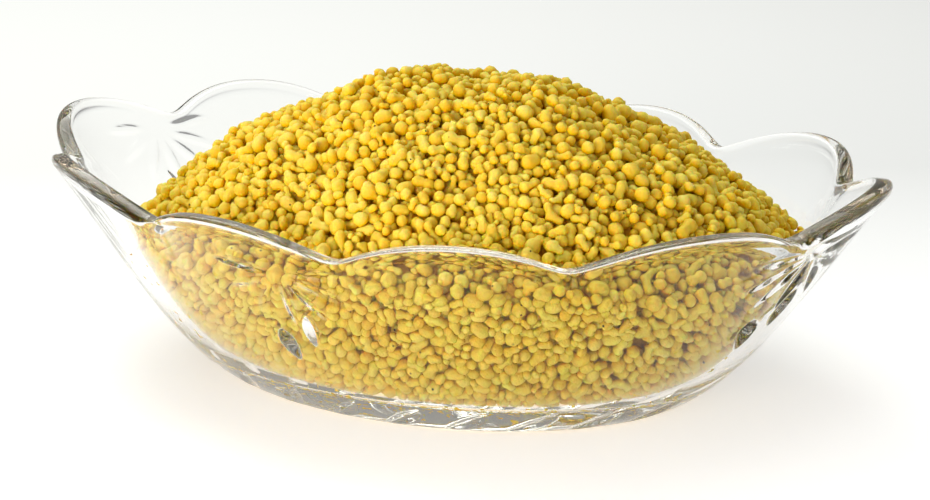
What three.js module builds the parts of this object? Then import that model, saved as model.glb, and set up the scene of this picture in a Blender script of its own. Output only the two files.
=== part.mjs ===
// Oval pressed-glass bowl heaped with boondi, small fried pearls of gram-flour batter.
// Millimetres, +Z up, long axis along X, origin at the centre of the flat base.
import * as THREE from 'three';

// Outer wall of the bowl: half sizes at the foot and at the level of the rim's notches.
const FOOT = { x: 80.3, y: 56.3 };
const SHOULDER = { x: 135.8, y: 91.2 };
const OUTER_CURVE = 0.68;

// Cavity: half sizes of its flat floor and of its mouth at the level of the notches.
const FLOOR = { x: 87, y: 59.5 };
const MOUTH = { x: 129.7, y: 85.7 };
const FLOOR_HEIGHT = 11;
const INNER_CURVE = 0.76;

// Rim: round scallops of equal length that also lean out, the bowl a little taller at its two ends.
const LOBES = 10;
const NOTCH_HEIGHT = 61.8;
const END_RISE = 6;
const LOBE_RISE = 9;
const LOBE_ROUNDNESS = 2.1;
const NOTCH_SOFTNESS = 0.25;
const LOBE_LEAN = 3.6;
const LEAN_CURVE = 4;
const RIM_ROUNDING = 2.8;

// Heap: a dome that falls away from its top and runs out against the cavity's wall.
const HEAP_TOP = 99.3;
const HEAP_DROP = 49.7;
const HEAP_REACH = { x: 112, y: 89.7 };
const HEAP_OFFSET = 5.2;
const SWELL_HEIGHT = 1.4;
const SWELL_LENGTH = { x: 56, y: 120 };
const SWELL_CREST = 34;
const WALL_CLEARANCE = 0.5;
const FLOOR_CLEARANCE = 0.3;

// Pearls: the heap's surface has one bump of a pearl's size for each that lies on top.
const PEARL_RINGS = 39;
const PEARL_CROWN = 1.3;
const PEARL_VALLEY = 0.7;
const PEARL_UNEVENNESS = 0.9;
const PEARL_SHIFT = 1.5;
const PEARL_SEED = 27;

// How finely the wall is divided: stations round the bowl and levels up its height.
const STATIONS = LOBES * 10;
const WALL_LEVELS = [0, 0.06, 0.2, 0.42, 0.7, 1];
const HEAP_LEVELS = [0, 0.06, 0.2, 0.42];
const RIM_TURNS = [0.25, 0.5, 0.75];

// Directions at equal steps along the oval, starting at the +X end in the middle of a lobe.
function ovalStations(count) {
  const oval = new THREE.EllipseCurve(0, 0, SHOULDER.x, SHOULDER.y, 0, 2 * Math.PI);
  oval.arcLengthDivisions = 2000;
  const points = oval.getSpacedPoints(count).slice(0, count);
  return points.map((point, index) => ({
    along: point.x / SHOULDER.x,
    across: point.y / SHOULDER.y,
    turn: index / count,
  }));
}

function notchHeight(station) {
  return NOTCH_HEIGHT + END_RISE * station.along ** 2;
}

// How far up its scallop the rim stands at a station: 0 in a soft notch, 1 on a lobe's crown.
function lobeArch(station) {
  const inLobe = (station.turn * LOBES + 0.5) % 1;
  const arch = 1 - Math.abs(2 * inLobe - 1) ** LOBE_ROUNDNESS;
  const crown = Math.hypot(1, NOTCH_SOFTNESS) - NOTCH_SOFTNESS;
  return (Math.hypot(arch, NOTCH_SOFTNESS) - NOTCH_SOFTNESS) / crown;
}

function rimHeight(station) {
  return notchHeight(station) + LOBE_RISE * lobeArch(station);
}

// How far the wall leans out past its oval, more and more towards a lobe's crown.
function lobeLean(station, height) {
  return LOBE_LEAN * lobeArch(station) * (height / wallTop(station)) ** LEAN_CURVE;
}

function widened(half, amount) {
  return { x: half.x + amount, y: half.y + amount };
}

function ovalPoint(half, station, height) {
  return new THREE.Vector3(half.x * station.along, half.y * station.across, height);
}

function between(low, high, share) {
  return { x: low.x + (high.x - low.x) * share, y: low.y + (high.y - low.y) * share };
}

function outerWallPoint(station, height) {
  const share = (height / notchHeight(station)) ** OUTER_CURVE;
  const half = between(FOOT, SHOULDER, share);
  return ovalPoint(widened(half, lobeLean(station, height)), station, height);
}

// A point on the cavity's wall, or the given distance inside it.
function innerWallPoint(station, height, clearance = 0) {
  const rise = (height - FLOOR_HEIGHT) / (notchHeight(station) - FLOOR_HEIGHT);
  const half = between(FLOOR, MOUTH, Math.max(rise, 0) ** INNER_CURVE);
  return ovalPoint(widened(half, lobeLean(station, height) - clearance), station, height);
}

function wallTop(station) {
  return rimHeight(station) - RIM_ROUNDING;
}

function innerHeight(station, level) {
  return FLOOR_HEIGHT + level * (wallTop(station) - FLOOR_HEIGHT);
}

// A point on the rounded rim, turning from the outer wall (0) over to the inner wall (1).
function rimPoint(station, turn) {
  const outer = outerWallPoint(station, wallTop(station));
  const inner = innerWallPoint(station, wallTop(station));
  const across = (1 - Math.cos(Math.PI * turn)) / 2;
  const point = outer.lerp(inner, across);
  point.z += RIM_ROUNDING * Math.sin(Math.PI * turn);
  return point;
}

// Triangles between two closed rings of any number of points, walking round both together.
function stitchRings(lower, lowerStart, upper, upperStart, triangles) {
  const low = (index) => lowerStart + (index % lower.length);
  const high = (index) => upperStart + (index % upper.length);
  let i = 0;
  let j = 0;
  const lowerSteps = lower.length > 1 ? lower.length : 0;
  const upperSteps = upper.length > 1 ? upper.length : 0;
  while (i < lowerSteps || j < upperSteps) {
    const lowerNext = i < lowerSteps ? (i + 1) / lowerSteps : Infinity;
    const upperNext = j < upperSteps ? (j + 1) / upperSteps : Infinity;
    if (lowerNext <= upperNext) {
      triangles.push(low(i), low(i + 1), high(j));
      i += 1;
    } else {
      triangles.push(high(j), low(i), high(j + 1));
      j += 1;
    }
  }
}

// A closed skin over rings that run from the lowest point outwards, over and back to the axis.
function skinGeometry(rings) {
  const points = rings.flat();
  const triangles = [];
  let start = 0;
  for (let ring = 0; ring + 1 < rings.length; ring += 1) {
    const next = start + rings[ring].length;
    stitchRings(rings[ring], start, rings[ring + 1], next, triangles);
    start = next;
  }
  const geometry = new THREE.BufferGeometry().setFromPoints(points);
  geometry.setIndex(triangles);
  geometry.computeVertexNormals();
  return geometry;
}

function bowlGeometry() {
  const stations = ovalStations(STATIONS);
  const outer = WALL_LEVELS.map((level) =>
    stations.map((station) => outerWallPoint(station, level * wallTop(station))));
  const rim = RIM_TURNS.map((turn) => stations.map((station) => rimPoint(station, turn)));
  const inner = WALL_LEVELS.toReversed().map((level) =>
    stations.map((station) => innerWallPoint(station, innerHeight(station, level))));
  const baseCentre = [new THREE.Vector3(0, 0, 0)];
  const floorCentre = [new THREE.Vector3(0, 0, FLOOR_HEIGHT)];
  return skinGeometry([baseCentre, ...outer, ...rim, ...inner, floorCentre]);
}

// Low swells that the pouring left in the dome.
function heapSwell(x, y) {
  const along = Math.cos((2 * Math.PI * (x - SWELL_CREST)) / SWELL_LENGTH.x);
  const across = Math.cos((2 * Math.PI * y) / SWELL_LENGTH.y);
  return SWELL_HEIGHT * along * across;
}

function heapHeight(x, y) {
  const along = (x - HEAP_OFFSET) / HEAP_REACH.x;
  const across = y / HEAP_REACH.y;
  return HEAP_TOP - HEAP_DROP * (along ** 2 + across ** 2) + heapSwell(x, y);
}

// Where the heap's surface runs out against the wall, found by halving the height range.
function heapFoot(station) {
  let low = FLOOR_HEIGHT;
  let high = wallTop(station);
  for (let step = 0; step < 40; step += 1) {
    const middle = (low + high) / 2;
    const point = innerWallPoint(station, middle, WALL_CLEARANCE);
    if (heapHeight(point.x, point.y) > middle) {
      low = middle;
    } else {
      high = middle;
    }
  }
  return innerWallPoint(station, low, WALL_CLEARANCE);
}

function seededRandom(seed) {
  let state = seed >>> 0;
  return () => {
    state = (Math.imul(state, 1664525) + 1013904223) >>> 0;
    return state / 2 ** 32;
  };
}

// A ring of 6k points on a triangular grid: every third point of the grid is a pearl's crown.
function isPearlCrown(ring, index) {
  const sector = Math.floor(index / ring);
  const step = index % ring;
  const corners = [[1, 0], [0, 1], [-1, 1], [-1, 0], [0, -1], [1, -1]];
  const corner = corners[sector];
  const walk = corners[(sector + 2) % corners.length];
  const q = corner[0] * ring + walk[0] * step;
  const r = corner[1] * ring + walk[1] * step;
  return (q - r) % 3 === 0;
}

function heapTopRings() {
  const random = seededRandom(PEARL_SEED);
  const middle = new THREE.Vector3(HEAP_OFFSET, 0, 0);
  const rings = [ovalStations(6 * PEARL_RINGS).map(heapFoot)];
  for (let ring = PEARL_RINGS - 1; ring > 0; ring -= 1) {
    const feet = ovalStations(6 * ring).map(heapFoot);
    rings.push(feet.map((foot, index) => {
      const point = middle.clone().lerp(foot, ring / PEARL_RINGS);
      point.x += PEARL_SHIFT * (random() - 0.5);
      point.y += PEARL_SHIFT * (random() - 0.5);
      const bump = isPearlCrown(ring, index) ? PEARL_CROWN : -PEARL_VALLEY;
      const uneven = PEARL_UNEVENNESS * (random() - 0.5);
      point.z = heapHeight(point.x, point.y) + bump + uneven;
      return point;
    }));
  }
  const summit = heapHeight(HEAP_OFFSET, 0) + PEARL_CROWN;
  rings.push([new THREE.Vector3(HEAP_OFFSET, 0, summit)]);
  return rings;
}

function heapGeometry() {
  const stations = ovalStations(STATIONS);
  const underside = HEAP_LEVELS.map((level) => stations.map((station) => {
    const point = innerWallPoint(station, innerHeight(station, level), WALL_CLEARANCE);
    point.z = Math.max(point.z, FLOOR_HEIGHT + FLOOR_CLEARANCE);
    return point;
  }));
  const bottom = [new THREE.Vector3(0, 0, FLOOR_HEIGHT + FLOOR_CLEARANCE)];
  return skinGeometry([bottom, ...underside, ...heapTopRings()]);
}

const clearGlass = new THREE.MeshStandardMaterial({
  color: 0xe9eeec,
  roughness: 0.04,
  metalness: 0,
  transparent: true,
  opacity: 0.3,
});
const friedGramFlour = new THREE.MeshStandardMaterial({
  color: 0xe3c53f,
  roughness: 0.7,
  metalness: 0,
});

function namedMesh(name, geometry, material) {
  const mesh = new THREE.Mesh(geometry, material);
  mesh.name = name;
  return mesh;
}

const bowlOfBoondi = new THREE.Group();
bowlOfBoondi.add(namedMesh('glass_bowl', bowlGeometry(), clearGlass));
bowlOfBoondi.add(namedMesh('boondi_heap', heapGeometry(), friedGramFlour));

export default bowlOfBoondi;
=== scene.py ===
"""A clear pressed-glass oval bowl heaped with boondi, small fried pearls of gram-flour batter."""

import math

import bmesh
import bpy
import numpy as np
from mathutils import Matrix, Vector
from mathutils.kdtree import KDTree


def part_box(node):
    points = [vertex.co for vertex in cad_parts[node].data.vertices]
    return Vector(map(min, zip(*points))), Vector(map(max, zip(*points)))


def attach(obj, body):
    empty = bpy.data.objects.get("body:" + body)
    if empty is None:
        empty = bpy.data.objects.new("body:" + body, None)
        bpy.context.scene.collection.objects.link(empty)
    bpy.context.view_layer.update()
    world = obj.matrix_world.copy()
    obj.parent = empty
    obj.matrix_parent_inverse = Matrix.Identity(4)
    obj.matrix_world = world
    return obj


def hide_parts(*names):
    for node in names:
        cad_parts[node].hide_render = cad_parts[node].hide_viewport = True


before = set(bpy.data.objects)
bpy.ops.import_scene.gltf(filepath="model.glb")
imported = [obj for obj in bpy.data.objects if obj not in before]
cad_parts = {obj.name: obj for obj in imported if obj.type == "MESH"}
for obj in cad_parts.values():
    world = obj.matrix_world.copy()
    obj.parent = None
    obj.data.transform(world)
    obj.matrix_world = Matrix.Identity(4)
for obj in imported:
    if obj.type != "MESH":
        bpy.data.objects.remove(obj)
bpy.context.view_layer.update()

# Glass bowl
# An oval serving bowl of clear soda-lime glass with a thick wall, pressed in one piece in an iron mould.
# Its rim is fire-polished round and rises in ten scallops; leaf cuts are moulded into the outside.
BOWL_LENGTH_MM = 285.6
bowl_low, bowl_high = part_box("glass_bowl")
mm = (bowl_high.x - bowl_low.x) / BOWL_LENGTH_MM

FOOT_X, FOOT_Y = 80.3 * mm, 56.3 * mm
SHOULDER_X, SHOULDER_Y = 135.8 * mm, 91.2 * mm
FLOOR_X, FLOOR_Y = 87.0 * mm, 59.5 * mm
MOUTH_X, MOUTH_Y = 129.7 * mm, 85.7 * mm
FLOOR_HEIGHT = 11.0 * mm
NOTCH_HEIGHT = 61.8 * mm
END_RISE = 6.0 * mm
OUTER_CURVE, INNER_CURVE = 0.68, 0.76
LOBES = 10
LOBE_RISE, LOBE_ROUNDNESS, NOTCH_SOFTNESS = 9.0 * mm, 2.1, 0.25
LOBE_LEAN, LEAN_CURVE = 3.6 * mm, 4.0
RIM_ROUNDING = 2.8 * mm

bowl_sizes = {
    "Foot Half Length": FOOT_X, "Foot Half Width": FOOT_Y,
    "Shoulder Half Length": SHOULDER_X, "Shoulder Half Width": SHOULDER_Y,
    "Floor Half Length": FLOOR_X, "Floor Half Width": FLOOR_Y,
    "Mouth Half Length": MOUTH_X, "Mouth Half Width": MOUTH_Y,
    "Floor Height": FLOOR_HEIGHT, "Notch Height": NOTCH_HEIGHT, "End Rise": END_RISE,
    "Outer Curve": OUTER_CURVE, "Inner Curve": INNER_CURVE,
    "Lobe Rise": LOBE_RISE, "Lobe Roundness": LOBE_ROUNDNESS, "Notch Softness": NOTCH_SOFTNESS,
    "Lobe Lean": LOBE_LEAN, "Lean Curve": LEAN_CURVE,
    "Rim Rounding": RIM_ROUNDING, "Rim Squareness": 0.55,
    "Fan Hub Drop": 6.0 * mm, "Fan Leaf Slope": 0.30, "Fan Lens Slope": 0.75,
    "Foot Leaf Width": 3.6 * mm, "Foot Leaf Length": 10.0 * mm, "Foot Leaf Depth": 0.8 * mm,
}
BOWL_STATIONS = 640
BOWL_ROWS = 150
FAN_TURNS = (0.225, 0.46, 0.725, 0.96)
FAN_LEAF_ANGLE = math.radians(32)
# Each row of a fan: where its leaves start, their length and half width, the first and last of them in
# steps of that angle from straight down, their own tilt, the slope of their sides and how round they are
# in section. The last two rows are one broad leaf each, below the fan.
FAN_ROWS = ((2.5 * mm, 22.0 * mm, 2.3 * mm, -3.0, 3.0, 0.0, "Fan Leaf Slope", 2.0),
            (26.0 * mm, 15.0 * mm, 3.4 * mm, -0.3, -0.3, 0.4, "Fan Lens Slope", 1.2),
            (17.0 * mm, 16.0 * mm, 2.8 * mm, 0.3, 0.3, -0.2, "Fan Lens Slope", 1.2))
# How much longer the slanting wall is than it is high at a fan, and than it is wide at the foot.
FAN_SLANT, FOOT_SLANT = 1.25, 1.15
# The grid is finest round the fans, which come four times in a turn.
FINE_ZONES, FINE_ZONE_MIDDLE, FINENESS = 4, 0.23, 0.55
# Where the base, outer wall, rim and inner wall end along the section, which the floor then closes, and how
# the rows of the two walls crowd towards the foot and the floor.
BASE_END, OUTER_END, RIM_END, INNER_END = 0.03, 0.70, 0.80, 0.97
OUTER_CROWDING, INNER_CROWDING = 1.15, 1.3
FOOT_LEAVES = 24
FOOT_LEAF_LEAN = math.radians(38)
FOOT_LEAF_ROUNDNESS = 1.6
OVAL_POINTS = 720
LEAST_WIDTH = 0.00001
WELD = 0.02 * mm


class Formula:
    """A value in a node tree that reads like a number: each sum or product adds one Math node."""

    def __init__(self, tree, socket):
        self.tree = tree
        self.socket = socket

    def step(self, operation, *values):
        """One Math node over the given values, or over this value where none is given."""
        node = self.tree.nodes.new("ShaderNodeMath")
        node.operation = operation
        for socket, value in zip(node.inputs, values or (self,)):
            if isinstance(value, Formula):
                self.tree.links.new(value.socket, socket)
            else:
                socket.default_value = value
        return Formula(self.tree, node.outputs[0])

    def __add__(self, other):
        return self.step("ADD", self, other)

    def __sub__(self, other):
        return self.step("SUBTRACT", self, other)

    def __rsub__(self, other):
        return self.step("SUBTRACT", other, self)

    def __mul__(self, other):
        return self.step("MULTIPLY", self, other)

    def __rmul__(self, other):
        return self.step("MULTIPLY", other, self)

    def __truediv__(self, other):
        return self.step("DIVIDE", self, other)

    def __pow__(self, other):
        return self.step("POWER", self, other)

    def __abs__(self):
        return self.step("ABSOLUTE")

    def at_least(self, other):
        return self.step("MAXIMUM", self, other)

    def at_most(self, other):
        return self.step("MINIMUM", self, other)

    def above(self, other):
        return self.step("GREATER_THAN", self, other)

    def part(self, start, end):
        """How far the value is from start to end, held between 0 and 1."""
        return ((self - start) / (end - start)).at_least(0.0).at_most(1.0)

    def towards(self, other, share):
        return self + (other - self) * share


def add_node(tree, kind, links=(), **settings):
    """Adds a node, sets its options and links or fills its inputs by name."""
    node = tree.nodes.new(kind)
    for name, value in settings.items():
        setattr(node, name, value)
    for name, value in dict(links).items():
        socket = node.inputs[name]
        if isinstance(value, Formula):
            tree.links.new(value.socket, socket)
        elif isinstance(value, bpy.types.NodeSocket):
            tree.links.new(value, socket)
        else:
            socket.default_value = value
    return node


def new_tree(name, sizes, other_inputs=()):
    """A Geometry Nodes tree with a named input for each size, and those inputs as formula values."""
    tree = bpy.data.node_groups.new(name, "GeometryNodeTree")
    tree.interface.new_socket("Geometry", in_out="OUTPUT", socket_type="NodeSocketGeometry")
    tree.interface.new_socket("Geometry", in_out="INPUT", socket_type="NodeSocketGeometry")
    for size in sizes:
        tree.interface.new_socket(size, in_out="INPUT", socket_type="NodeSocketFloat")
    for title, kind in dict(other_inputs).items():
        tree.interface.new_socket(title, in_out="INPUT", socket_type=kind)
    given = tree.nodes.new("NodeGroupInput")
    return tree, given, {size: Formula(tree, given.outputs[size]) for size in sizes}


def finish_tree(tree, geometry, material):
    """Ends a tree with its instances realized, smooth shading and the piece's material."""
    real = add_node(tree, "GeometryNodeRealizeInstances", {"Geometry": geometry})
    smooth = add_node(tree, "GeometryNodeSetShadeSmooth", {"Geometry": real.outputs[0]})
    dressed = add_node(tree, "GeometryNodeSetMaterial", {
        "Geometry": smooth.outputs[0], "Material": material})
    add_node(tree, "NodeGroupOutput", {"Geometry": dressed.outputs[0]})


def grown_piece(name, tree, inputs, mesh=None):
    """Runs a tree on an object at the origin and keeps what it makes as a plain mesh."""
    piece = bpy.data.objects.new(name, mesh or bpy.data.meshes.new(name))
    bpy.context.scene.collection.objects.link(piece)
    modifier = piece.modifiers.new("grow", "NODES")
    modifier.node_group = tree
    for item in tree.interface.items_tree:
        if item.in_out == "INPUT" and item.name in inputs:
            modifier[item.identifier] = inputs[item.name]
    evaluated = piece.evaluated_get(bpy.context.evaluated_depsgraph_get())
    plain = bpy.data.meshes.new_from_object(evaluated)
    piece.modifiers.remove(modifier)
    piece.data = plain
    plain.name = name
    return piece


def lens(u, v, half_width, roundness):
    """Depth, 0 to 1, of a leaf-shaped cut: u runs -1 to 1 along it, v is the distance from its midrib."""
    taper = (1.0 - u * u).at_least(0.0)
    side = abs(v) / (half_width * taper + LEAST_WIDTH)
    return taper * (1.0 - side ** roundness).at_least(0.0)


def bowl_tree(material):
    """The bowl as a grid of turns round the oval and steps along the wall's section."""
    tree, _, size = new_tree("pressed glass bowl", bowl_sizes)
    grid = add_node(tree, "GeometryNodeMeshGrid", {
        "Size X": 1.0, "Size Y": 1.0, "Vertices X": BOWL_STATIONS + 1, "Vertices Y": BOWL_ROWS})
    place = add_node(tree, "GeometryNodeInputPosition")
    on_grid = add_node(tree, "ShaderNodeSeparateXYZ", {"Vector": place.outputs[0]})
    even_turn = Formula(tree, on_grid.outputs["X"]) + 0.5
    zone = (even_turn - FINE_ZONE_MIDDLE) * (2 * math.pi * FINE_ZONES)
    drawn_in = even_turn - zone.step("SINE") * (FINENESS / (2 * math.pi * FINE_ZONES))
    turn = drawn_in.step("FRACT")
    along = Formula(tree, on_grid.outputs["Y"]) + 0.5

    # A point of the oval at each turn, evenly spaced along its edge.
    circle = add_node(tree, "GeometryNodeCurvePrimitiveCircle", {"Resolution": OVAL_POINTS, "Radius": 1.0})
    oval_scale = add_node(tree, "ShaderNodeCombineXYZ", {
        "X": size["Shoulder Half Length"], "Y": size["Shoulder Half Width"], "Z": 1.0})
    oval = add_node(tree, "GeometryNodeTransform", {
        "Geometry": circle.outputs[0], "Scale": oval_scale.outputs[0]})
    measured = add_node(tree, "GeometryNodeCurveLength", {"Curve": oval.outputs[0]})
    oval_length = Formula(tree, measured.outputs[0])
    station = add_node(tree, "GeometryNodeSampleCurve", {"Curves": oval.outputs[0], "Factor": turn},
                       mode="FACTOR")
    on_oval = add_node(tree, "ShaderNodeSeparateXYZ", {"Vector": station.outputs["Position"]})
    cosine = Formula(tree, on_oval.outputs["X"]) / size["Shoulder Half Length"]
    sine = Formula(tree, on_oval.outputs["Y"]) / size["Shoulder Half Width"]

    # Rim height: arches between notches, the two ends a little higher.
    notch = size["Notch Height"] + size["End Rise"] * cosine * cosine
    in_lobe = (turn * LOBES + 0.5).step("FRACT")
    arch = 1.0 - abs(in_lobe * 2.0 - 1.0) ** size["Lobe Roundness"]
    soft = size["Notch Softness"]
    arch = ((arch * arch + soft * soft) ** 0.5 - soft) / ((soft * soft + 1.0) ** 0.5 - soft)
    wall_top = notch + size["Lobe Rise"] * arch - size["Rim Rounding"]

    # Section: base, outer wall, rim, inner wall and floor, each a stretch of the grid's other side.
    base_share = along.part(0.0, BASE_END)
    outer_height = wall_top * along.part(BASE_END, OUTER_END) ** OUTER_CROWDING
    rim_turn = along.part(OUTER_END, RIM_END) * math.pi
    inner_level = (1.0 - along.part(RIM_END, INNER_END)) ** INNER_CROWDING
    floor_height = size["Floor Height"]
    inner_height = floor_height + (wall_top - floor_height) * inner_level
    floor_share = 1.0 - along.part(INNER_END, 1.0)

    outer_rise = (outer_height / notch) ** size["Outer Curve"]
    outer_lean = size["Lobe Lean"] * arch * (outer_height / wall_top) ** size["Lean Curve"]
    outer_x = size["Foot Half Length"].towards(size["Shoulder Half Length"], outer_rise)
    outer_x = (outer_x + outer_lean) * base_share
    outer_y = size["Foot Half Width"].towards(size["Shoulder Half Width"], outer_rise)
    outer_y = (outer_y + outer_lean) * base_share
    inner_rise = ((inner_height - floor_height) / (notch - floor_height)) ** size["Inner Curve"]
    inner_lean = size["Lobe Lean"] * arch * (inner_height / wall_top) ** size["Lean Curve"]
    inner_x = size["Floor Half Length"].towards(size["Mouth Half Length"], inner_rise)
    inner_x = (inner_x + inner_lean) * floor_share
    inner_y = size["Floor Half Width"].towards(size["Mouth Half Width"], inner_rise)
    inner_y = (inner_y + inner_lean) * floor_share

    # Over the rim the section turns from the outer wall's top to the inner wall's top.
    outwards = rim_turn.step("COSINE")
    over = 0.5 - 0.5 * outwards.step("SIGN") * abs(outwards) ** size["Rim Squareness"]
    crown = size["Rim Rounding"] * rim_turn.step("SINE").at_least(0.0) ** size["Rim Squareness"]
    half_x = outer_x.towards(inner_x, over)
    half_y = outer_y.towards(inner_y, over)
    height = outer_height.towards(inner_height, over) + crown

    # Leaf cuts on the outside, measured along the wall in real distances.
    ring_length = oval_length * half_x / size["Shoulder Half Length"]
    cuts = turn * 0.0
    for fan_turn in FAN_TURNS:
        away = turn - fan_turn
        sideways = (away - away.step("ROUND")) * ring_length
        upward = (height - notch + size["Fan Hub Drop"]) * FAN_SLANT
        reach = (sideways * sideways + upward * upward) ** 0.5
        bearing = sideways.step("ARCTAN2", sideways, 0.0 - upward)
        for row_start, row_length, half_width, first, last, tilt, slope, roundness in FAN_ROWS:
            steps = bearing / FAN_LEAF_ANGLE - first
            nearest = (steps.step("ROUND") + first).at_least(first).at_most(last)
            off_midrib = bearing - nearest * FAN_LEAF_ANGLE
            across = reach * off_midrib.step("SINE")
            down_leaf = reach * off_midrib.step("COSINE") - row_start - row_length / 2
            u = (down_leaf * math.cos(tilt) + across * math.sin(tilt)) / (row_length / 2)
            v = across * math.cos(tilt) - down_leaf * math.sin(tilt)
            cuts = cuts.at_least(lens(u, v, half_width, roundness) * half_width * size[slope])
    around = turn * FOOT_LEAVES
    sideways = (around - around.step("FLOOR") - 0.5) * ring_length / FOOT_LEAVES
    upward = (half_x - size["Foot Half Length"]) * FOOT_SLANT - size["Foot Leaf Length"]
    u = sideways * math.sin(FOOT_LEAF_LEAN) + upward * math.cos(FOOT_LEAF_LEAN)
    v = sideways * math.cos(FOOT_LEAF_LEAN) - upward * math.sin(FOOT_LEAF_LEAN)
    u = u / size["Foot Leaf Length"]
    foot_cut = lens(u, v, size["Foot Leaf Width"], FOOT_LEAF_ROUNDNESS) * size["Foot Leaf Depth"]
    outside = along.above(BASE_END) * (OUTER_END - along).above(0.0)
    depth = cuts.at_least(foot_cut) * outside

    point = add_node(tree, "ShaderNodeCombineXYZ", {"X": half_x * cosine, "Y": half_y * sine, "Z": height})
    kept_depth = add_node(tree, "GeometryNodeStoreNamedAttribute", {
        "Geometry": grid.outputs[0], "Name": "cut_depth", "Value": depth},
        data_type="FLOAT", domain="POINT")
    shaped = add_node(tree, "GeometryNodeSetPosition", {
        "Geometry": kept_depth.outputs[0], "Position": point.outputs[0]})
    closed = add_node(tree, "GeometryNodeMergeByDistance", {
        "Geometry": shaped.outputs[0], "Distance": WELD})
    normal = add_node(tree, "GeometryNodeInputNormal")
    cut_depth = add_node(tree, "GeometryNodeInputNamedAttribute", {"Name": "cut_depth"}, data_type="FLOAT")
    inward = add_node(tree, "ShaderNodeVectorMath", {
        "Vector": normal.outputs[0], "Scale": Formula(tree, cut_depth.outputs[0]) * -1.0}, operation="SCALE")
    cut = add_node(tree, "GeometryNodeSetPosition", {
        "Geometry": closed.outputs[0], "Offset": inward.outputs[0]})
    finish_tree(tree, cut.outputs[0], material)
    return tree


def new_material(name):
    """A node material and its Principled shader, with no other nodes but the output."""
    material = bpy.data.materials.new(name)
    material.use_nodes = True
    return material, material.node_tree, material.node_tree.nodes["Principled BSDF"]


def clouds(tree, spot, scale, detail):
    """Soft random tone all over a piece, finer the larger its scale."""
    return add_node(tree, "ShaderNodeTexNoise", {
        "Vector": spot.outputs["Object"], "Scale": scale, "Detail": detail}).outputs["Fac"]


def between(tree, value, low, high):
    """A value that runs from low to high where the given one runs from 0 to 1."""
    return add_node(tree, "ShaderNodeMapRange", {
        "Value": value, "To Min": low, "To Max": high}).outputs["Result"]


def roughen(tree, shader, relief, strength, depth):
    """Fine relief on top of the piece's own shape."""
    bump = add_node(tree, "ShaderNodeBump", {"Height": relief, "Strength": strength, "Distance": depth})
    tree.links.new(bump.outputs["Normal"], shader.inputs["Normal"])


GLASS_IOR = 1.5


def pressed_glass():
    """Clear glass with the faint ripple and haze that a mould leaves."""
    material, tree, shader = new_material("clear_pressed_glass")
    shader.inputs["Transmission Weight"].default_value = 1.0
    shader.inputs["IOR"].default_value = GLASS_IOR
    shader.inputs["Base Color"].default_value = (0.985, 0.987, 0.985, 1.0)
    spot = add_node(tree, "ShaderNodeTexCoord")
    haze = clouds(tree, spot, scale=35.0, detail=2.0)
    tree.links.new(between(tree, haze, low=0.0, high=0.03), shader.inputs["Roughness"])
    ripple = clouds(tree, spot, scale=60.0, detail=1.0)
    roughen(tree, shader, ripple, strength=0.5, depth=0.03 * mm)
    # Square on, the dull mould skin mirrors less than polished glass does; at a slant it mirrors fully.
    slant = add_node(tree, "ShaderNodeFresnel", {"IOR": GLASS_IOR})
    mirror = add_node(tree, "ShaderNodeMapRange", {
        "Value": slant.outputs[0], "From Min": 0.35, "To Min": 0.12})
    tree.links.new(mirror.outputs["Result"], shader.inputs["Specular Tint"])
    depth_tint = add_node(tree, "ShaderNodeVolumeAbsorption", {
        "Color": (0.95, 0.945, 0.935, 1.0), "Density": 25.0})
    tree.links.new(depth_tint.outputs[0], tree.nodes["Material Output"].inputs["Volume"])
    return material


bowl = grown_piece("bowl", bowl_tree(pressed_glass()), bowl_sizes)
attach(bowl, "root")
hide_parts("glass_bowl")

# Boondi under the surface
# The pearls too deep to be seen, packed close, as one crumbly mass of batter painted darker for their shade.
# It fills the bowl under the loose top pearls and behind those that lie against the glass.
CORE_SHRINK = (0.945, 0.925, 0.86)
CORE_FLOOR = 15.5 * mm


def deep_boondi():
    """Fried batter in the gaps between pearls: deep orange yellow as painted shade, mottled and rough."""
    material, tree, shader = new_material("boondi_gaps_painted_shade")
    spot = add_node(tree, "ShaderNodeTexCoord")
    grain = clouds(tree, spot, scale=420.0, detail=3.0)
    tone = add_node(tree, "ShaderNodeValToRGB", {"Fac": grain})
    tone.color_ramp.elements[0].position = 0.3
    tone.color_ramp.elements[0].color = (0.52, 0.24, 0.006, 1.0)
    tone.color_ramp.elements[1].position = 0.7
    tone.color_ramp.elements[1].color = (0.74, 0.42, 0.012, 1.0)
    tree.links.new(tone.outputs["Color"], shader.inputs["Base Color"])
    roughen(tree, shader, grain, strength=0.6, depth=0.8 * mm)
    shader.inputs["Roughness"].default_value = 0.8
    return material


def shrunk_heap():
    """The solid heap, its seams closed, drawn in under the pearls with its own bumps."""
    low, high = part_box("boondi_heap")
    middle = Vector(((low.x + high.x) / 2, 0.0, low.z))
    lift = Vector((middle.x, 0.0, CORE_FLOOR))
    shrink = Matrix.Diagonal((*CORE_SHRINK, 1.0))
    shape = bmesh.new()
    shape.from_mesh(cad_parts["boondi_heap"].data)
    bmesh.ops.remove_doubles(shape, verts=shape.verts, dist=WELD)
    shape.transform(Matrix.Translation(lift) @ shrink @ Matrix.Translation(-middle))
    mesh = bpy.data.meshes.new("boondi_deep")
    shape.to_mesh(mesh)
    shape.free()
    mesh.materials.append(deep_boondi())
    piece = bpy.data.objects.new("boondi_deep", mesh)
    bpy.context.scene.collection.objects.link(piece)
    return piece


core = shrunk_heap()
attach(core, "root")
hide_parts("boondi_heap")

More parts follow.
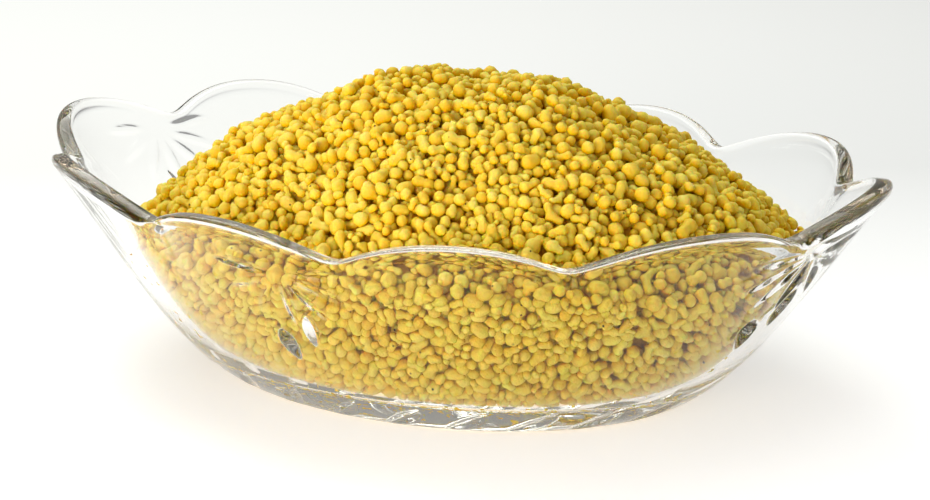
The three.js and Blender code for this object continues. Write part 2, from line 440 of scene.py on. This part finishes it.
# Boondi pearls
# Drops of thin gram-flour batter, fried as they fall from a sieve: mostly round, some run together in pairs
# or clumps, drawn out with a tail or curled. They lie loose, heaped over the rim and packed against the
# glass.
HEAP_TOP, HEAP_DROP = 99.3 * mm, 49.7 * mm
HEAP_REACH_X, HEAP_REACH_Y = 112.0 * mm, 89.7 * mm
HEAP_OFFSET = 5.2 * mm
SWELL_HEIGHT, SWELL_CREST = 1.4 * mm, 34.0 * mm
SWELL_LENGTH_X, SWELL_LENGTH_Y = 56.0 * mm, 120.0 * mm
PEARL_RADIUS = 1.95 * mm
PEARL_SPREAD, SMALLEST, LARGEST = 0.18, 0.62, 1.35
ROUND_SQUASH, LONG_SPREAD = 0.06, 0.04
TINT_MIDDLE, TINT_SPREAD = 0.5, 0.18
# Depths of the layer that is packed with pearls, and of the thinner one whose pearls can be seen.
SHELL_TOP, SHELL_SIDE, SHELL_OVER = 9.5 * mm, 7.5 * mm, 4.0 * mm
SEEN_TOP, SEEN_SIDE = 8.0 * mm, 6.2 * mm
PACKING, PLACES_TRIED = 0.63, 90000
SETTLING_ROUNDS, PAIRS_EVERY, PAIR_REACH = 90, 10, 2.2
# How far a pearl reaches into the glass, how much larger it is drawn so that neighbours touch, and how far
# under the heap's top its balls lie, as a share of their radius.
WALL_REACH, FLOOR_REACH = 0.02 * mm, 0.1 * mm
PRESSED_TOGETHER = 1.07
LEAST_COVER = 0.3
NECK, CLUMP_MIDDLE = 0.62, 0.6
random = np.random.default_rng(27)

# Each kind of pearl as a row of balls: share of the heap, then each ball's place along X and Y and radius.
PEARL_KINDS = {
    "round": (0.22, ((0.0, 0.0, 1.0),)),
    "small": (0.13, ((0.0, 0.0, 0.74),)),
    "oval": (0.13, ((-0.32, 0.0, 0.84), (0.32, 0.0, 0.9))),
    "knobbed": (0.13, ((-0.2, 0.0, 0.92), (0.82, 0.0, 0.56))),
    "double": (0.17, ((-0.68, 0.0, 0.84), (0.66, 0.0, 0.74))),
    "tailed": (0.06, ((-0.35, 0.0, 0.95), (0.75, 0.08, 0.6), (1.4, 0.3, 0.42))),
    "curled": (0.07, ((-1.1, -0.28, 0.68), (0.0, 0.3, 0.74), (1.1, -0.28, 0.64))),
    "clump": (0.09, ((-0.56, -0.32, 0.68), (0.0, 0.52, 0.64), (0.6, -0.28, 0.6))),
}


def heap_height(x, y):
    along = (x - HEAP_OFFSET) / HEAP_REACH_X
    across = y / HEAP_REACH_Y
    swell_x = np.cos(2 * np.pi * (x - SWELL_CREST) / SWELL_LENGTH_X)
    swell_y = np.cos(2 * np.pi * y / SWELL_LENGTH_Y)
    return HEAP_TOP - HEAP_DROP * (along ** 2 + across ** 2) + SWELL_HEIGHT * swell_x * swell_y


def under_heap_top(points):
    return heap_height(points[:, 0], points[:, 1]) - points[:, 2]


# How far round the oval's edge each direction lies, as a share of a full turn.
OVAL_ANGLES = np.linspace(-np.pi, np.pi, 1441)
oval_steps = np.hypot(SHOULDER_X * np.sin(OVAL_ANGLES[1:]), SHOULDER_Y * np.cos(OVAL_ANGLES[1:]))
OVAL_TURNS = np.concatenate(([0.0], np.cumsum(oval_steps))) / oval_steps.sum() - 0.5


def inside_wall(points):
    """Positive inside the cavity: 0 on its wall and 1 on its axis."""
    x, y, z = points.T
    angle = np.arctan2(y / SHOULDER_Y, x / SHOULDER_X)
    notch = NOTCH_HEIGHT + END_RISE * np.cos(angle) ** 2
    in_lobe = (np.interp(angle, OVAL_ANGLES, OVAL_TURNS) * LOBES + 0.5) % 1
    arch = 1 - np.abs(2 * in_lobe - 1) ** LOBE_ROUNDNESS
    full_arch = math.hypot(1, NOTCH_SOFTNESS) - NOTCH_SOFTNESS
    arch = (np.hypot(arch, NOTCH_SOFTNESS) - NOTCH_SOFTNESS) / full_arch
    lean = LOBE_LEAN * arch * (z / (notch + LOBE_RISE * arch - RIM_ROUNDING)) ** LEAN_CURVE
    rise = np.maximum((z - FLOOR_HEIGHT) / (notch - FLOOR_HEIGHT), 1e-4) ** INNER_CURVE
    half_x = FLOOR_X + (MOUTH_X - FLOOR_X) * rise + lean
    half_y = FLOOR_Y + (MOUTH_Y - FLOOR_Y) * rise + lean
    return 1 - np.hypot(x / half_x, y / half_y)


def distance_and_way(measure, points):
    """Distance of each point inside a surface, and the direction straight away from it."""
    nudge = 0.05 * mm
    value = measure(points)
    slopes = [(measure(points + nudge * axis) - value) / nudge for axis in np.eye(3)]
    slope = np.stack(slopes, axis=1)
    steepness = np.linalg.norm(slope, axis=1) + 1e-9
    return value / steepness, slope / steepness[:, None]


def room_around(points):
    """Distances from the heap's top, from the wall and from the floor."""
    top, _ = distance_and_way(under_heap_top, points)
    wall, _ = distance_and_way(inside_wall, points)
    return top, wall, points[:, 2] - FLOOR_HEIGHT


def in_shell(points):
    """The layer that is packed with pearls: near the top, the wall or the floor."""
    top, wall, floor = room_around(points)
    inside = (top > -SHELL_OVER) & (wall > 0) & (floor > 0)
    return inside & ((top < SHELL_TOP) | (wall < SHELL_SIDE) | (floor < SHELL_SIDE))


def scattered_centres():
    """Random pearl centres, as many as fill the layer at a loose heap's density, and the size of each."""
    low = np.array((-MOUTH_X, -MOUTH_Y, FLOOR_HEIGHT))
    high = np.array((MOUTH_X, MOUTH_Y, HEAP_TOP + 2 * SHELL_OVER))
    tries = random.uniform(low, high, (PLACES_TRIED, 3))
    tries = tries[in_shell(tries)]
    layer_volume = len(tries) / PLACES_TRIED * np.prod(high - low)
    ball_volume = 4 / 3 * np.pi * PEARL_RADIUS ** 3
    kind_volume = sum(share * sum(ball[2] ** 3 for ball in balls) for share, balls in PEARL_KINDS.values())
    count = int(PACKING * layer_volume / (ball_volume * kind_volume))
    sizes = PEARL_RADIUS * np.clip(random.normal(1.0, PEARL_SPREAD, count), SMALLEST, LARGEST)
    return tries[:count], sizes


def random_directions(count):
    way = random.normal(size=(count, 3))
    return way / np.linalg.norm(way, axis=1)[:, None]


def balls_of_pearls(centres, sizes):
    """Every pearl as its balls: places, radii, the bonds between balls and each kind's index table."""
    places, radii, bonds, tables = [], [], [], {}
    start = 0
    first_ball = 0
    for kind, (share, balls) in PEARL_KINDS.items():
        count = int(share * len(centres))
        at, size = centres[start:start + count], sizes[start:start + count]
        start += count
        along = random_directions(count)
        across = np.cross(along, random_directions(count))
        across /= np.linalg.norm(across, axis=1)[:, None]
        tables[kind] = first_ball + np.arange(count * len(balls)).reshape(len(balls), count)
        for x, y, radius in balls:
            places.append(at + size[:, None] * (x * along + y * across))
            radii.append(size * radius)
        for a in range(len(balls)):
            for b in range(a + 1, len(balls)):
                length = math.dist(balls[a][:2], balls[b][:2])
                bonds.append((tables[kind][a], tables[kind][b], length * size))
        first_ball += count * len(balls)
    return np.concatenate(places), np.concatenate(radii), bonds, tables


def near_pairs(points, reach):
    """Index pairs of balls whose centres are within reach of each other."""
    tree = KDTree(len(points))
    for index, point in enumerate(points):
        tree.insert(point, index)
    tree.balance()
    pairs = [(index, other) for index, point in enumerate(points)
             for _, other, _ in tree.find_range(point, reach) if other > index]
    return np.array(pairs).T


def settle(places, radii, bonds):
    """Pushes overlapping balls apart, keeps each pearl's balls together and all of them off the glass."""
    bonded = set()
    for first, second, _ in bonds:
        bonded.update(zip(np.minimum(first, second).tolist(), np.maximum(first, second).tolist()))
    for turn in range(SETTLING_ROUNDS):
        if turn % PAIRS_EVERY == 0:
            first, second = near_pairs(places, PAIR_REACH * radii.max())
            free = [pair not in bonded for pair in zip(first.tolist(), second.tolist())]
            first, second = first[free], second[free]
        gap = places[first] - places[second]
        distance = np.linalg.norm(gap, axis=1) + 1e-9
        overlap = np.maximum(radii[first] + radii[second] - distance, 0)
        push = gap * (0.5 * overlap / distance)[:, None]
        np.add.at(places, first, push)
        np.add.at(places, second, -push)
        for a, b, length in bonds:
            gap = places[a] - places[b]
            distance = np.linalg.norm(gap, axis=1) + 1e-9
            pull = gap * (0.5 * (length - distance) / distance)[:, None]
            places[a] += pull
            places[b] -= pull
        top, top_way = distance_and_way(under_heap_top, places)
        wall, wall_way = distance_and_way(inside_wall, places)
        floor = places[:, 2] - FLOOR_HEIGHT
        deep = (top > SHELL_TOP) & (wall > SHELL_SIDE) & (floor > SHELL_SIDE)
        to_wall = deep & (wall - SHELL_SIDE < top - SHELL_TOP)
        to_top = deep & ~to_wall
        places[to_wall] -= wall_way[to_wall] * (wall - SHELL_SIDE)[to_wall][:, None]
        places[to_top] -= top_way[to_top] * (top - SHELL_TOP)[to_top][:, None]
        places += top_way * np.maximum(-SHELL_OVER - top, 0)[:, None]
        places += wall_way * np.maximum(PRESSED_TOGETHER * radii - WALL_REACH - wall, 0)[:, None]
        places[:, 2] = np.maximum(places[:, 2], FLOOR_HEIGHT + PRESSED_TOGETHER * radii - FLOOR_REACH)
    return places


def drop_object(kind, vertices, sides, rings):
    """A skin over rings of points from one tip of a drop to the other."""
    faces = []
    for ring in range(rings):
        for side in range(sides):
            a, b = ring * sides + side, ring * sides + (side + 1) % sides
            faces.append((a, a + sides, b + sides, b))
    mesh = bpy.data.meshes.new(f"{kind}_drop")
    mesh.from_pydata(vertices, [], faces)
    drop = bpy.data.objects.new(f"{kind}_drop", mesh)
    bpy.context.scene.collection.objects.link(drop)
    return drop


def batter_drop(kind, balls, sides=8, rings=8):
    """One fried drop: rings along its row of balls, swelling over each ball and narrow between them."""
    line = np.array(balls)
    start = line[0, 0] - line[0, 2]
    end = line[-1, 0] + line[-1, 2]
    turns = (1 - np.cos(np.pi * np.arange(rings + 1) / rings)) / 2
    vertices = []
    for x in start + (end - start) * turns:
        reach = np.maximum(line[:, 2] ** 2 - (x - line[:, 0]) ** 2, 0)
        neck = np.interp(x, line[:, 0], line[:, 2]) * NECK
        inner = line[0, 0] < x < line[-1, 0]
        radius = max(math.sqrt(reach.max()), neck if inner else 0.0)
        sag = np.interp(x, line[:, 0], line[:, 1])
        for side in range(sides):
            angle = 2 * math.pi * side / sides
            vertices.append((x, sag + radius * math.cos(angle), radius * math.sin(angle)))
    return drop_object(kind, vertices, sides, rings)


def clump_drop(kind, balls, sides=9, rings=7):
    """Drops that fried together side by side: one lobe over each ball, round a common middle."""
    vertices = []
    for ring in range(rings + 1):
        slope = math.pi * ring / rings
        for side in range(sides):
            turn = 2 * math.pi * side / sides
            ring_radius = math.sin(slope)
            way = np.array((-math.cos(slope), ring_radius * math.cos(turn), ring_radius * math.sin(turn)))
            reach = CLUMP_MIDDLE
            for x, y, radius in balls:
                ahead = x * way[0] + y * way[1]
                inside = radius ** 2 - x ** 2 - y ** 2 + ahead ** 2
                if inside > 0:
                    reach = max(reach, ahead + math.sqrt(inside))
            vertices.append(tuple(way * reach))
    return drop_object(kind, vertices, sides, rings)


def round_drop(kind, radius):
    """A drop that fried as a ball."""
    bpy.ops.mesh.primitive_ico_sphere_add(subdivisions=2, radius=radius)
    drop = bpy.context.object
    drop.name = f"{kind}_drop"
    return drop


pearl_sizes = {"Lump Height": 0.65 * mm, "Lump Scale": 330.0}


def pearl_tree(material):
    """Sets one drop on every point, turned and sized by the point, then makes each one uneven."""
    tree, given, size = new_tree("boondi pearls", pearl_sizes, {"Drop": "NodeSocketObject"})
    drop = add_node(tree, "GeometryNodeObjectInfo", {"Object": given.outputs["Drop"]})
    along = add_node(tree, "GeometryNodeInputNamedAttribute", {"Name": "along"}, data_type="FLOAT_VECTOR")
    across = add_node(tree, "GeometryNodeInputNamedAttribute", {"Name": "across"}, data_type="FLOAT_VECTOR")
    size_of = add_node(tree, "GeometryNodeInputNamedAttribute", {"Name": "size"}, data_type="FLOAT_VECTOR")
    turned = add_node(tree, "FunctionNodeAxesToRotation", {
        "Primary Axis": along.outputs[0], "Secondary Axis": across.outputs[0]},
        primary_axis="X", secondary_axis="Y")
    pearls = add_node(tree, "GeometryNodeInstanceOnPoints", {
        "Points": given.outputs["Geometry"], "Instance": drop.outputs["Geometry"],
        "Rotation": turned.outputs[0], "Scale": size_of.outputs[0]})
    real = add_node(tree, "GeometryNodeRealizeInstances", {"Geometry": pearls.outputs[0]})
    closed = add_node(tree, "GeometryNodeMergeByDistance", {
        "Geometry": real.outputs[0], "Distance": WELD})
    lumps = add_node(tree, "ShaderNodeTexNoise", {"Scale": size["Lump Scale"], "Detail": 0.5})
    lift = (Formula(tree, lumps.outputs["Fac"]) - 0.5) * size["Lump Height"] * 2.0
    normal = add_node(tree, "GeometryNodeInputNormal")
    offset = add_node(tree, "ShaderNodeVectorMath", {"Vector": normal.outputs[0], "Scale": lift},
                      operation="SCALE")
    uneven = add_node(tree, "GeometryNodeSetPosition", {
        "Geometry": closed.outputs[0], "Offset": offset.outputs[0]})
    finish_tree(tree, uneven.outputs[0], material)
    return tree


def fried_boondi():
    """Fried gram-flour batter: a yellow of its own for each pearl, browner patches, tiny dark specks and
    painted shade on the sides that face the gaps.
    """
    material, tree, shader = new_material("fried_boondi")
    spot = add_node(tree, "ShaderNodeTexCoord")
    tint = add_node(tree, "ShaderNodeAttribute", attribute_name="tint")
    shade = add_node(tree, "ShaderNodeValToRGB", {"Fac": tint.outputs["Fac"]})
    shade.color_ramp.elements[0].color = (0.81, 0.585, 0.045, 1.0)
    shade.color_ramp.elements[1].color = (0.91, 0.79, 0.18, 1.0)
    middle = shade.color_ramp.elements.new(0.5)
    middle.color = (0.87, 0.69, 0.09, 1.0)
    patches = clouds(tree, spot, scale=260.0, detail=3.0)
    browned = add_node(tree, "ShaderNodeMapRange", {
        "Value": patches, "From Min": 0.55, "From Max": 0.75, "To Max": 0.25})
    fried = add_node(tree, "ShaderNodeMix", {"Factor": browned.outputs["Result"]}, data_type="RGBA")
    tree.links.new(shade.outputs["Color"], fried.inputs[6])
    fried.inputs[7].default_value = (0.78, 0.42, 0.03, 1.0)
    # Painted shade: sides that face the gaps are deeper and more orange than those facing out of the heap.
    outward = add_node(tree, "ShaderNodeAttribute", attribute_name="outward")
    surface = add_node(tree, "ShaderNodeNewGeometry")
    facing = add_node(tree, "ShaderNodeVectorMath", {
        0: outward.outputs["Vector"], 1: surface.outputs["Normal"]}, operation="DOT_PRODUCT")
    gap_shade_share = add_node(tree, "ShaderNodeMapRange", {
        "Value": facing.outputs["Value"], "From Min": 0.9, "From Max": -0.1})
    painted_gap_shade = add_node(tree, "ShaderNodeMix", {"Factor": gap_shade_share.outputs["Result"]}, data_type="RGBA",
                         blend_type="MULTIPLY")
    tree.links.new(fried.outputs[2], painted_gap_shade.inputs[6])
    painted_gap_shade.inputs[7].default_value = (0.95, 0.79, 0.02, 1.0)
    cells = add_node(tree, "ShaderNodeTexVoronoi", {"Vector": spot.outputs["Object"], "Scale": 250.0})
    near = add_node(tree, "ShaderNodeMath", {0: cells.outputs["Distance"], 1: 0.085}, operation="LESS_THAN")
    chance = add_node(tree, "ShaderNodeSeparateColor", {"Color": cells.outputs["Color"]})
    chosen = add_node(tree, "ShaderNodeMath", {0: chance.outputs["Red"], 1: 0.35}, operation="LESS_THAN")
    speck = add_node(tree, "ShaderNodeMath", {0: near.outputs[0], 1: chosen.outputs[0]},
                     operation="MULTIPLY")
    speckled = add_node(tree, "ShaderNodeMix", {"Factor": speck.outputs[0]}, data_type="RGBA")
    tree.links.new(painted_gap_shade.outputs[2], speckled.inputs[6])
    speckled.inputs[7].default_value = (0.05, 0.02, 0.008, 1.0)
    tree.links.new(speckled.outputs[2], shader.inputs["Base Color"])
    crust = clouds(tree, spot, scale=750.0, detail=3.0)
    tree.links.new(between(tree, crust, low=0.42, high=0.7), shader.inputs["Roughness"])
    roughen(tree, shader, crust, strength=0.7, depth=0.7 * mm)
    shader.inputs["Specular IOR Level"].default_value = 0.18
    shader.inputs["Subsurface Weight"].default_value = 0.7
    shader.inputs["Subsurface Radius"].default_value = (1.0, 0.4, 0.06)
    shader.inputs["Subsurface Scale"].default_value = 2.0 * mm
    return material


def out_of_heap(places):
    """The way out of the heap at each place, to its nearest top, wall or floor."""
    top, top_way = distance_and_way(under_heap_top, places)
    wall, wall_way = distance_and_way(inside_wall, places)
    floor = places[:, 2] - FLOOR_HEIGHT
    out = -top_way / (top + PEARL_RADIUS)[:, None] ** 2 - wall_way / (wall + PEARL_RADIUS)[:, None] ** 2
    out[:, 2] -= 1 / (floor + PEARL_RADIUS) ** 2
    return out / np.linalg.norm(out, axis=1)[:, None]


def point_mesh(kind, places, along, across, sizes):
    """Points that carry where each pearl of a kind lies, how it is turned, its size, way out and tint."""
    mesh = bpy.data.meshes.new(f"{kind}_points")
    mesh.from_pydata(places.tolist(), [], [])
    outward = out_of_heap(places)
    for name, values in (("along", along), ("across", across), ("size", sizes), ("outward", outward)):
        attribute = mesh.attributes.new(name, "FLOAT_VECTOR", "POINT")
        attribute.data.foreach_set("vector", values.astype(np.float32).ravel())
    tint = mesh.attributes.new("tint", "FLOAT", "POINT")
    tints = np.clip(random.normal(TINT_MIDDLE, TINT_SPREAD, len(places)), 0, 1)
    tint.data.foreach_set("value", tints.astype(np.float32))
    return mesh


def press_to_glass(piece):
    """Flattens what would stand in the glass, so that pearls reach only just into the wall and floor."""
    mesh = piece.data
    flat = np.empty(len(mesh.vertices) * 3, np.float32)
    mesh.vertices.foreach_get("co", flat)
    points = flat.reshape(-1, 3).astype(float)
    wall, way = distance_and_way(inside_wall, points)
    points += way * np.maximum(-WALL_REACH - wall, 0)[:, None]
    points[:, 2] = np.maximum(points[:, 2], FLOOR_HEIGHT - FLOOR_REACH)
    mesh.vertices.foreach_set("co", points.astype(np.float32).ravel())
    mesh.update()


centres, pearl_size = scattered_centres()
ball_places, ball_radii, ball_bonds, kind_tables = balls_of_pearls(centres, pearl_size)
ball_places = settle(ball_places, ball_radii, ball_bonds)
ball_top, ball_wall, ball_floor = room_around(ball_places)
boondi_nodes = pearl_tree(fried_boondi())

for kind, (_, balls) in PEARL_KINDS.items():
    table = kind_tables[kind]
    size = ball_radii[table[0]] / balls[0][2]
    below_top = (ball_top[table] - LEAST_COVER * ball_radii[table]).min(axis=0) > 0
    seen = (ball_top[table].min(axis=0) < SEEN_TOP) | (ball_wall[table].min(axis=0) < SEEN_SIDE)
    kept = below_top & (seen | (ball_floor[table].min(axis=0) < SEEN_SIDE))
    table, size = table[:, kept], size[kept]
    count = len(size)
    if len(balls) == 1:
        origin = ball_places[table[0]]
        along, across = random_directions(count), random_directions(count)
        squash = random.normal(1.0, ROUND_SQUASH, (count, 3))
        drop = round_drop(kind, balls[0][2])
    else:
        along = ball_places[table[-1]] - ball_places[table[0]]
        along /= np.linalg.norm(along, axis=1)[:, None]
        middle = ball_places[table].mean(axis=0)
        bend = ball_places[table[len(balls) // 2]] - (ball_places[table[0]] + ball_places[table[-1]]) / 2
        across = bend if len(balls) > 2 else random_directions(count)
        middle_along = np.array(balls)[:, 0].mean()
        origin = middle - size[:, None] * along * middle_along
        squash = np.ones((count, 3)) * random.normal(1.0, LONG_SPREAD, (count, 1))
        drop = clump_drop(kind, balls) if kind == "clump" else batter_drop(kind, balls)
    mesh = point_mesh(kind, origin, along, across, PRESSED_TOGETHER * size[:, None] * squash)
    pearls = grown_piece(f"boondi_{kind}", boondi_nodes, {**pearl_sizes, "Drop": drop}, mesh)
    bpy.data.objects.remove(drop)
    press_to_glass(pearls)
    # The rings of long drops and clumps run clockwise seen from outside, so their faces are turned round.
    if len(balls) > 1:
        pearls.data.flip_normals()
    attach(pearls, "root")
    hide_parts("boondi_heap")

# Floor
# A plain pale table top, matt white, wide enough to fill the view from every side. The bowl stands on it.
# A painted glow lights it a little, more towards the camera, standing in for the white room around it.
FLOOR_SIDE = 6.0
FLOOR_GAP = 0.3 * mm
# Strengths of the painted floor glow towards the camera and away from it, and the colour of the painted
# light under the base.
FRONT_GLOW, BACK_GLOW, GLOW_REACH = 0.84, 0.22, 0.25
UNDER_BASE_PAINTED_LIGHT = (1.2, 0.9, 0.5)
VIEW_AZIMUTH = math.radians(23.0)
AWAY_WAY = Vector((-math.sin(VIEW_AZIMUTH), math.cos(VIEW_AZIMUTH), 0.0))


def table_white():
    """Matt white with faint clouds of tone, and a painted glow of light."""
    material, tree, shader = new_material("table_white")
    spot = add_node(tree, "ShaderNodeTexCoord")
    tone = clouds(tree, spot, scale=1.5, detail=1.0)
    tree.links.new(between(tree, tone, low=0.69, high=0.72), shader.inputs["Base Color"])
    shader.inputs["Roughness"].default_value = 0.7
    # A painted pool of warm light under the base stands in for the light that comes down through the glass,
    # warm from the pearls.
    flat = add_node(tree, "ShaderNodeVectorMath", {
        0: spot.outputs["Object"], 1: (1 / FOOT_X, 1 / FOOT_Y, 0.0)}, operation="MULTIPLY")
    out = add_node(tree, "ShaderNodeVectorMath", {0: flat.outputs[0]}, operation="LENGTH")
    under = add_node(tree, "ShaderNodeMapRange", {
        "Value": out.outputs["Value"], "From Min": 1.05, "From Max": 0.9}, interpolation_type="SMOOTHSTEP")
    painted_floor_light = add_node(tree, "ShaderNodeMix", {"Factor": under.outputs["Result"]}, data_type="RGBA")
    away = add_node(tree, "ShaderNodeVectorMath", {0: spot.outputs["Object"], 1: AWAY_WAY},
                    operation="DOT_PRODUCT")
    glow = add_node(tree, "ShaderNodeMapRange", {
        "Value": away.outputs["Value"], "From Min": -GLOW_REACH, "From Max": GLOW_REACH,
        "To Min": FRONT_GLOW, "To Max": BACK_GLOW})
    tree.links.new(glow.outputs["Result"], painted_floor_light.inputs[6])
    painted_floor_light.inputs[7].default_value = (*UNDER_BASE_PAINTED_LIGHT, 1.0)
    tree.links.new(painted_floor_light.outputs[2], shader.inputs["Emission Color"])
    shader.inputs["Emission Strength"].default_value = 1.0
    return material


bpy.ops.mesh.primitive_plane_add(size=FLOOR_SIDE, location=(0.0, 0.0, -FLOOR_GAP))
floor = bpy.context.object
floor.name = "table_top"
floor.data.materials.append(table_white())

# Light
# A low, warm soft box at the front on the left as the key, a large one high behind for the heap's top, and
# pale light from the room all round.
RIGHT_WAY = Vector((math.cos(VIEW_AZIMUTH), math.sin(VIEW_AZIMUTH), 0.0))
ROOM_COLOUR, ROOM_STRENGTH = (1.0, 1.0, 0.985, 1.0), 0.34
GLASS_BOUNCES, DIFFUSE_BOUNCES = 24, 4


def soft_box(name, right, away, up, width, power, colour):
    """A square area light, off from the bowl to the camera's right, away from it and up, facing the heap."""
    lamp = bpy.data.lights.new(name, "AREA")
    lamp.size = width
    lamp.energy = power
    lamp.color = colour
    box = bpy.data.objects.new(name, lamp)
    box.location = RIGHT_WAY * right + AWAY_WAY * away + Vector((0.0, 0.0, up))
    aim = Vector((0.0, 0.0, NOTCH_HEIGHT)) - box.location
    box.rotation_euler = aim.to_track_quat("-Z", "Y").to_euler()
    bpy.context.scene.collection.objects.link(box)


soft_box("key_soft_box", right=-0.47, away=-0.84, up=0.06, width=0.5, power=11.0, colour=(1.0, 0.83, 0.65))
soft_box("back_soft_box", right=-0.35, away=0.55, up=1.1, width=0.9, power=12.0, colour=(0.97, 1.0, 0.94))
room = bpy.data.worlds.new("pale_room")
room.use_nodes = True
room.node_tree.nodes["Background"].inputs["Color"].default_value = ROOM_COLOUR
room.node_tree.nodes["Background"].inputs["Strength"].default_value = ROOM_STRENGTH
bpy.context.scene.world = room
# Light is turned back many times inside thick glass before it comes out.
bpy.context.scene.cycles.max_bounces = GLASS_BOUNCES
bpy.context.scene.cycles.diffuse_bounces = DIFFUSE_BOUNCES
bpy.context.scene.cycles.glossy_bounces = GLASS_BOUNCES
bpy.context.scene.cycles.transmission_bounces = GLASS_BOUNCES
bpy.context.scene.view_settings.view_transform = "Standard"

# Camera
# It stands in front of the bowl's long side, a little to the right of square on, and looks slightly down.
# It aims under the middle of the rim, so that the bowl and its heap fill the picture.
VIEW_ELEVATION = math.radians(15.65)
VIEW_DISTANCE = 724.0 * mm
LENS, NEAREST = 86.2, 0.01
AIM_RIGHT, AIM_DOWN = 4.3 * mm, 21.2 * mm

back_way = math.sin(VIEW_ELEVATION) * Vector((0.0, 0.0, 1.0)) - math.cos(VIEW_ELEVATION) * AWAY_WAY
up_way = back_way.cross(RIGHT_WAY)
rim_centre = Vector((0.0, 0.0, NOTCH_HEIGHT))
camera = bpy.data.objects.new("camera", bpy.data.cameras.new("camera"))
camera.data.lens = LENS
camera.data.clip_start = NEAREST
camera.location = rim_centre + back_way * VIEW_DISTANCE
aim = rim_centre + RIGHT_WAY * AIM_RIGHT - up_way * AIM_DOWN
camera.rotation_euler = (aim - camera.location).to_track_quat("-Z", "Y").to_euler()
bpy.context.scene.collection.objects.link(camera)
bpy.context.scene.camera = camera
